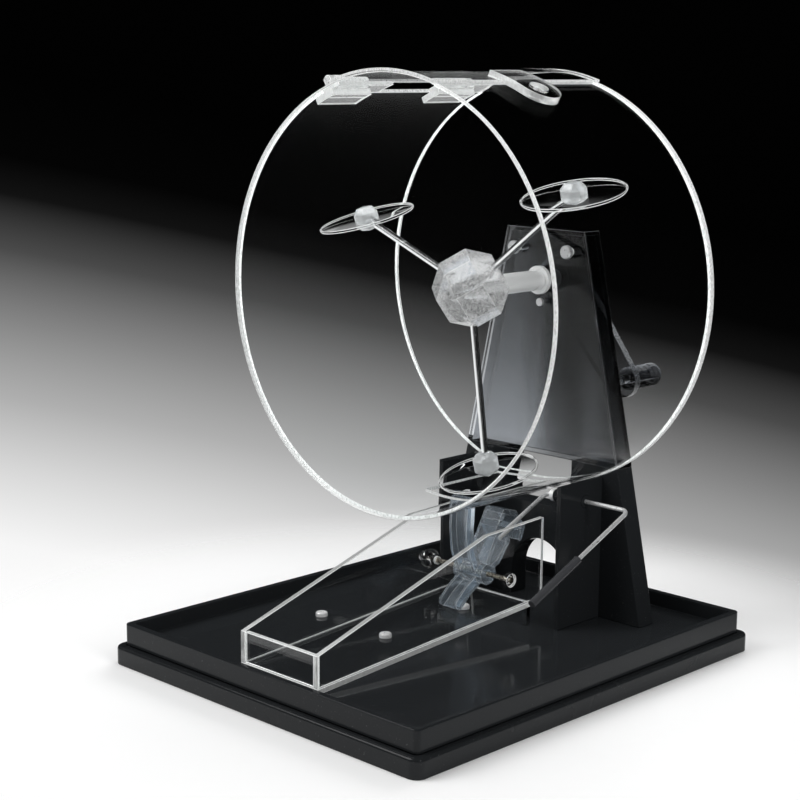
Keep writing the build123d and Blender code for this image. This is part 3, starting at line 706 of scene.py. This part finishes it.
# Angle of each arm and tilt of its paddle in degrees, and how far the paddle's disc sits off its socket
ARMS = ((38.0, 0.0, 0.0), (158.0, 8.0, 0.0), (278.0, 4.0, -0.0055))
PADDLE_NOD = math.radians(14.0)
# How far a socket's centre lies beyond its arm's end
SOCKET_STEP = 0.002
# How near to an arm's line a point of the CAD model's rods has to be to belong to that arm
ARM_NEAR = 0.004


def arm_way(angle):
    """Direction of an arm."""
    turn = math.radians(angle)
    return Vector((math.cos(turn), 0.0, math.sin(turn)))


def arm_end(angle):
    """Distance from the axis to the end of the CAD model's arm."""
    way = arm_way(angle)
    reach = 0.0
    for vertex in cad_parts["arm_rods"].data.vertices:
        offset = vertex.co - HUB_CENTRE
        along = offset.dot(way)
        if (offset - way * along).length < ARM_NEAR:
            reach = max(reach, along)
    return reach


def paddle_places(with_shift):
    """Place and turn of each paddle's disc or socket."""
    places = []
    for angle, slope, shift in ARMS:
        centre = HUB_CENTRE + arm_way(angle) * (arm_end(angle) + SOCKET_STEP)
        turn = Matrix.Rotation(-math.radians(slope), 3, "Y") @ Matrix.Rotation(PADDLE_NOD, 3, "X")
        if with_shift:
            centre += turn @ Vector((0.0, 0.0, shift))
        places.append((centre, turn.to_euler()))
    return places


def paddle_disc(sizes):
    """Thin disc about Z with a raised rim, whose bevels are marked for a painted highlight."""
    cut = 0.0003
    fillet = 0.0006
    outer = sizes.paddle_radius
    inner = outer - sizes.paddle_rim
    web = sizes.paddle_web / 2
    high = sizes.paddle_rim_height / 2
    half = [
        (0.0, web), (inner - fillet, web), (inner, web + fillet / 2), (inner, high - cut),
        (inner + cut, high), (outer - cut, high), (outer, high - cut)]
    disc = lathe("paddle_disc", half + [(r, -z) for r, z in reversed(half)], DISC_SIDES)
    rim = disc.attributes.new("rim", "BOOLEAN", "FACE")
    for face in disc.polygons:
        at_rim = Vector(face.center).xy.length > inner
        slanted = 0.3 < abs(face.normal.z) < 0.9
        rim.data[face.index].value = at_rim and slanted
    return disc


def paddle_socket(sizes):
    """Faceted block about the origin, with its edges broken."""
    edge_break = 0.0002
    bm = bmesh.new()
    bmesh.ops.create_cube(bm, size=sizes.socket)
    for cut in (sizes.socket_cut, edge_break):
        bmesh.ops.bevel(bm, geom=bm.edges[:], offset=cut, segments=1, affect="EDGES")
    mesh = bpy.data.meshes.new("paddle_socket")
    bm.to_mesh(mesh)
    bm.free()
    return mesh


# ---------------------------------------------------------------- the pivot screw


def screw_profile(low, high, sizes):
    """Profile of the pivot screw from its tip to the socket in its sunk head."""
    tip_length = 0.0006
    plain_length = 0.006
    head_edge = 0.0004
    socket_mouth = 0.0007
    socket_floor = 0.0005
    socket_depth = 0.0010
    shank = sizes.screw_radius
    root = shank * 0.84
    tip = shank * 0.7
    head = sizes.screw_head
    profile = [(0.0, low), (tip, low)]
    for i in range(int((high - low - plain_length) / sizes.screw_pitch)):
        start = low + tip_length + i * sizes.screw_pitch
        profile += [(root, start), (shank, start + sizes.screw_pitch * 0.5)]
    profile += [(root, high - head), (head, high - head_edge), (head * 0.92, high)]
    return profile + [(socket_mouth, high), (socket_floor, high - socket_depth), (0.0, high - socket_depth)]


# ---------------------------------------------------------------- operators


class DRUM_OT_base(bpy.types.Operator):
    """Black tray, skirt, cheeks and column foot"""

    bl_idname = "drum.base"
    bl_label = "Base and foot"

    def execute(self, context):
        chamfer = context.scene.drum_sizes.body_chamfer
        for node, is_main, name in (
            ("base_skirt", lying, "skirt_black"),
            ("base_tray", lying, "tray_black"),
            ("column_foot", across_y, "foot_black"),
            ("cheeks", across_x, "foot_black"),
        ):
            dressed(node, "stand", "black_plastic", is_main, (name,), chamfer)
        return {"FINISHED"}


class DRUM_OT_column(bpy.types.Operator):
    """Smoky see-through shell of the column"""

    bl_idname = "drum.column"
    bl_label = "Column"

    def execute(self, context):
        chamfer = context.scene.drum_sizes.body_chamfer
        looks = ("smoke_sheet", "smoke_sheet", "smoke_line")
        dressed("column", "stand", "smoke_acrylic", across_y, looks, chamfer)
        return {"FINISHED"}


class DRUM_OT_sheets(bpy.types.Operator):
    """Clear drum, lid and chute, with pale cut edges of frosting and painted glow, and bevels of painted
    highlight
    """

    bl_idname = "drum.sheets"
    bl_label = "Clear sheets"

    def execute(self, context):
        chamfer = context.scene.drum_sizes.sheet_chamfer
        for node, body, is_main, name in (
            ("drum_front", "stand", across_y, "drum_sheet"),
            ("drum_back", "stand", across_y, "drum_sheet"),
            ("drum_wall", "stand", round_drum, "drum_sheet"),
            ("lid_brackets", "stand", round_drum, "clear_sheet"),
            ("lid", "lid", round_drum, "drum_sheet"),
            ("lid_tab", "lid", tab_faces, "clear_sheet"),
            ("chute_floor", "stand", lying, "clear_sheet"),
            ("chute_walls", "stand", across_x, "clear_sheet"),
            ("chute_front", "stand", across_y, "clear_sheet"),
            ("chute_riser", "stand", across_y, "clear_sheet"),
        ):
            # Edge faces of the sheets: partly frosted cut, partly painted glow
            edge = "cut_edge" if name == "drum_sheet" else "cut_soft"
            # The sheets' bevels carry a painted highlight
            looks = (name, name, name) if node == "chute_riser" else (name, edge, "painted_highlight_line")
            piece = dressed(node, body, "clear_acrylic", is_main, looks, chamfer)
            piece.visible_shadow = False
        return {"FINISHED"}


class DRUM_OT_agitator(bpy.types.Operator):
    """Faceted hub, bright arms, spacer tube and spindle"""

    bl_idname = "drum.agitator"
    bl_label = "Hub and arms"

    def execute(self, context):
        sizes = context.scene.drum_sizes
        # The hub's bevels carry a painted highlight
        looks = ("hub_clear", "hub_clear", "painted_highlight_line")
        hub = dressed("hub", "agitator", "clear_moulding", lying, looks, sizes.sheet_chamfer)
        hub.visible_shadow = False
        paths = [
            [HUB_CENTRE + arm_way(angle) * reach for reach in (sizes.arm_root, arm_end(angle))]
            for angle, _, _ in ARMS
        ]
        arms = rods("arms", paths, sizes.arm_radius, 0.0, "arm_chrome")
        stands_for(arms, "agitator", "chrome_rod", "arm_rods")
        recoloured("axle_sleeve", "spacer_white")
        recoloured("axle_bushes", "spacer_white")
        recoloured("spindle", "wire_steel")
        return {"FINISHED"}


class DRUM_OT_paddles(bpy.types.Operator):
    """Clear rimmed paddles with their faceted sockets"""

    bl_idname = "drum.paddles"
    bl_label = "Paddles"

    def execute(self, context):
        sizes = context.scene.drum_sizes
        disc = paddle_disc(sizes)
        socket = paddle_socket(sizes)
        # The paddles' rim bevels carry a painted highlight
        discs = copies("paddle_discs", disc, paddle_places(True), "drum_sheet", "painted_highlight_line")
        sockets = copies("paddle_sockets", socket, paddle_places(False), "moulded_clear", "moulded_clear")
        for piece in (discs, sockets):
            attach(piece, "agitator")
            piece.visible_shadow = False
        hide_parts("paddles")
        return {"FINISHED"}


class DRUM_OT_ejector(bpy.types.Operator):
    """Bluish clear rocker with its pivot screw and ball knob"""

    bl_idname = "drum.ejector"
    bl_label = "Ejector"

    def execute(self, context):
        sizes = context.scene.drum_sizes
        # The rocker's bevels carry a painted bluish-white highlight
        looks = ("bluish_clear", "bluish_clear", "painted_bluish_highlight")
        rocker = dressed("rocker", "rocker", "clear_moulding", across_x, looks, sizes.rocker_chamfer)
        rocker.visible_shadow = False
        low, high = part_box("pivot_screw")
        middle = (low + high) / 2
        screw = lathe("threaded_pivot", screw_profile(low.x, high.x, sizes), SCREW_SIDES)
        screw.transform(Matrix.Translation((0.0, middle.y, middle.z)) @ Matrix.Rotation(math.pi / 2, 4, "Y"))
        screw.materials.append(finish("pivot_brass"))
        stands_for(show("threaded_pivot", screw), "stand", "brass_screw", "pivot_screw")
        recoloured("pivot_knob", "knob_clear")
        return {"FINISHED"}


class DRUM_OT_lever(bpy.types.Operator):
    """Bent steel wire lever with its sleeve"""

    bl_idname = "drum.lever"
    bl_label = "Lever"

    def execute(self, context):
        sizes = context.scene.drum_sizes
        low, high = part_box("lever_wire")
        radius = sizes.wire_radius
        back = Vector((0.0, -math.cos(sizes.lever_drop), -math.sin(sizes.lever_drop)))
        outer = high - Vector((radius, radius, radius))
        inner = Vector((low.x + radius, outer.y, outer.z))
        path = (outer + back * sizes.lever_reach, outer, inner, inner + back * sizes.lever_inner)
        wire = rods("lever_bent_wire", (path,), radius, sizes.wire_bend, "wire_steel")
        stands_for(wire, "lever", "bright_steel", "lever_wire")
        recoloured("lever_grip", "sleeve_black")
        recoloured("lever_collar", "screw_steel")
        recoloured("lever_boss", "foot_black")
        return {"FINISHED"}


class DRUM_OT_crank(bpy.types.Operator):
    """Crank arm, cap nut, grip and its pin"""

    bl_idname = "drum.crank"
    bl_label = "Crank"

    def execute(self, context):
        chamfer = context.scene.drum_sizes.sheet_chamfer
        dressed("crank_arm", "agitator", "smoke_acrylic", across_y, ("grip_smoke", "faint_line"), chamfer)
        recoloured("crank_grip", "grip_smoke")
        recoloured("crank_nut", "crank_black")
        recoloured("grip_pin", "grip_smoke")
        return {"FINISHED"}


class DRUM_OT_screws(bpy.types.Operator):
    """Screws of the base and the drum, and the lid's hinge pin"""

    bl_idname = "drum.screws"
    bl_label = "Screws and pin"

    def execute(self, context):
        recoloured("base_screws", "screw_steel")
        recoloured("disc_screws", "pin_steel")
        recoloured("flange_screw", "pin_steel")
        recoloured("lid_pin", "wire_steel")
        return {"FINISHED"}


# ---------------------------------------------------------------- stage

# Each lamp's name, place, width and height, and whether it shows in gloss
LAMPS = (
    ("key", (-0.75, -0.95, 1.25), (0.9, 0.9), True),
    ("side", (1.15, -0.10, 0.75), (0.35, 1.3), False),
    ("back", (-0.35, 1.15, 1.10), (1.1, 0.6), False),
)
LAMP_TARGET = Vector((0.0, 0.0, 0.15))
FILM_WIDTH = 36.0
CLEAR_BOUNCES = 28

# Rise of the view over which the backdrop darkens, and its tone at each share of that rise
BACKDROP_RISE = (-0.35, -0.05)
BACKDROP_TONES = (
    (0.0, 1.0), (0.14, 0.93), (0.27, 0.69), (0.40, 0.43), (0.54, 0.235), (0.67, 0.068), (0.77, 0.006),
    (0.84, 0.0012), (1.0, 0.0005))


def add_lamp(name, place, size, power, in_gloss):
    """Soft rectangular lamp that points at the drum and shows in gloss at most."""
    lamp = bpy.data.lights.new(name, "AREA")
    lamp.shape = "RECTANGLE"
    lamp.size, lamp.size_y = size
    lamp.energy = power
    holder = bpy.data.objects.new(name, lamp)
    holder.location = place
    holder.rotation_euler = (LAMP_TARGET - Vector(place)).to_track_quat("-Z", "Y").to_euler()
    holder.visible_camera = False
    holder.visible_transmission = False
    holder.visible_glossy = in_gloss
    bpy.context.scene.collection.objects.link(holder)


def add_world(stage):
    """Plain light from all sides, and a pale-to-dark backdrop that the eye, gloss and clear sheet see."""
    world = bpy.data.worlds.new("studio")
    bpy.context.scene.world = world
    world.use_nodes = True
    nodes = world.node_tree.nodes
    link = world.node_tree.links.new
    nodes.clear()
    where = nodes.new("ShaderNodeTexCoord")
    height = nodes.new("ShaderNodeVectorMath")
    height.operation = "DOT_PRODUCT"
    height.inputs[1].default_value = stage.backdrop_slant
    ramp = nodes.new("ShaderNodeValToRGB")
    backdrop = nodes.new("ShaderNodeBackground")
    plain = nodes.new("ShaderNodeBackground")
    plain.inputs["Color"].default_value = (1.0, 1.0, 1.0, 1.0)
    plain.inputs["Strength"].default_value = stage.world_light
    rise = nodes.new("ShaderNodeMapRange")
    rise.inputs["From Min"].default_value, rise.inputs["From Max"].default_value = BACKDROP_RISE
    while len(ramp.color_ramp.elements) < len(BACKDROP_TONES):
        ramp.color_ramp.elements.new(0.5)
    for stop, (place, tone) in zip(ramp.color_ramp.elements, BACKDROP_TONES):
        stop.position = place
        stop.color = (tone, tone, tone, 1.0)
    rays = nodes.new("ShaderNodeLightPath")
    first = nodes.new("ShaderNodeMath")
    second = nodes.new("ShaderNodeMath")
    for node in (first, second):
        node.operation = "ADD"
        node.use_clamp = True
    mix = nodes.new("ShaderNodeMixShader")
    out = nodes.new("ShaderNodeOutputWorld")
    link(where.outputs["Generated"], height.inputs[0])
    link(height.outputs["Value"], rise.inputs["Value"])
    link(rise.outputs["Result"], ramp.inputs["Fac"])
    link(ramp.outputs["Color"], backdrop.inputs["Color"])
    link(rays.outputs["Is Camera Ray"], first.inputs[0])
    link(rays.outputs["Is Glossy Ray"], first.inputs[1])
    link(first.outputs["Value"], second.inputs[0])
    link(rays.outputs["Is Transmission Ray"], second.inputs[1])
    link(second.outputs["Value"], mix.inputs["Fac"])
    link(plain.outputs["Background"], mix.inputs[1])
    link(backdrop.outputs["Background"], mix.inputs[2])
    link(mix.outputs["Shader"], out.inputs["Surface"])


def add_floor(stage):
    """Round pale floor that fades into the backdrop."""
    bm = bmesh.new()
    bmesh.ops.create_circle(bm, cap_ends=True, segments=DISC_SIDES, radius=stage.floor_radius)
    mesh = bpy.data.meshes.new("floor")
    bm.to_mesh(mesh)
    bm.free()
    floor = show("floor", mesh)
    f = Finish("floor_paint")
    f.shades(f.noise(6.0, detail=2.0), tinted(stage.floor_colour, 0.99), tinted(stage.floor_colour, 1.01))
    reach = f.nodes.new("ShaderNodeVectorMath")
    reach.operation = "LENGTH"
    f.links.new(f.place, reach.inputs[0])
    fade = f.fit(reach.outputs["Value"], 0.0, 1.0, start=stage.floor_clear, stop=stage.floor_gone)
    fade.node.interpolation_type = "SMOOTHSTEP"
    gone = f.nodes.new("ShaderNodeBsdfTransparent")
    mix = f.nodes.new("ShaderNodeMixShader")
    f.links.new(fade, mix.inputs["Fac"])
    f.links.new(f.shader.outputs["BSDF"], mix.inputs[1])
    f.links.new(gone.outputs["BSDF"], mix.inputs[2])
    f.links.new(mix.outputs["Shader"], f.nodes["Material Output"].inputs["Surface"])
    mesh.materials.append(f.done(Roughness=0.6))


class DRUM_OT_stage(bpy.types.Operator):
    """Pale floor, soft studio light and the camera"""

    bl_idname = "drum.stage"
    bl_label = "Stage"

    def execute(self, context):
        scene = context.scene
        stage = scene.drum_stage
        add_floor(stage)
        add_world(stage)
        powers = {"key": stage.key_power, "side": stage.side_power, "back": stage.back_power}
        for name, place, size, in_gloss in LAMPS:
            add_lamp(name, place, size, powers[name], in_gloss)
        camera = bpy.data.objects.new("camera", bpy.data.cameras.new("camera"))
        camera.data.lens = stage.lens
        camera.data.sensor_width = FILM_WIDTH
        camera.location = stage.camera_place
        camera.rotation_euler = stage.camera_turn
        scene.collection.objects.link(camera)
        scene.camera = camera
        scene.view_settings.view_transform = "Standard"
        scene.cycles.max_bounces = CLEAR_BOUNCES
        scene.cycles.transmission_bounces = CLEAR_BOUNCES
        return {"FINISHED"}


class DRUM_PT_panel(bpy.types.Panel):
    """Lists the drum's pieces"""

    bl_idname = "DRUM_PT_panel"
    bl_label = "Drawing drum"
    bl_space_type = "VIEW_3D"
    bl_region_type = "UI"
    bl_category = "Drum"

    def draw(self, context):
        for operator in STEPS:
            self.layout.operator(operator.bl_idname)
        for group in (context.scene.drum_sizes, context.scene.drum_colours, context.scene.drum_stage):
            box = self.layout.box()
            for name in group.bl_rna.properties.keys():
                if name not in ("rna_type", "name"):
                    box.prop(group, name)


STEPS = (
    DRUM_OT_base,
    DRUM_OT_column,
    DRUM_OT_sheets,
    DRUM_OT_agitator,
    DRUM_OT_paddles,
    DRUM_OT_ejector,
    DRUM_OT_lever,
    DRUM_OT_crank,
    DRUM_OT_screws,
    DRUM_OT_stage,
)
GROUPS = {"drum_sizes": DrumSizes, "drum_colours": DrumColours, "drum_stage": DrumStage}


def register():
    """Register the settings, operators and panel."""
    for name, group in GROUPS.items():
        bpy.utils.register_class(group)
        setattr(bpy.types.Scene, name, bpy.props.PointerProperty(type=group))
    for cls in (*STEPS, DRUM_PT_panel):
        bpy.utils.register_class(cls)


def unregister():
    """Remove what register added."""
    for cls in reversed((*STEPS, DRUM_PT_panel)):
        bpy.utils.unregister_class(cls)
    for name, group in GROUPS.items():
        delattr(bpy.types.Scene, name)
        bpy.utils.unregister_class(group)


def main():
    """Dress the drum."""
    register()
    for operator in STEPS:
        group, name = operator.bl_idname.split(".")
        getattr(getattr(bpy.ops, group), name)()


if __name__ == "__main__":
    main()
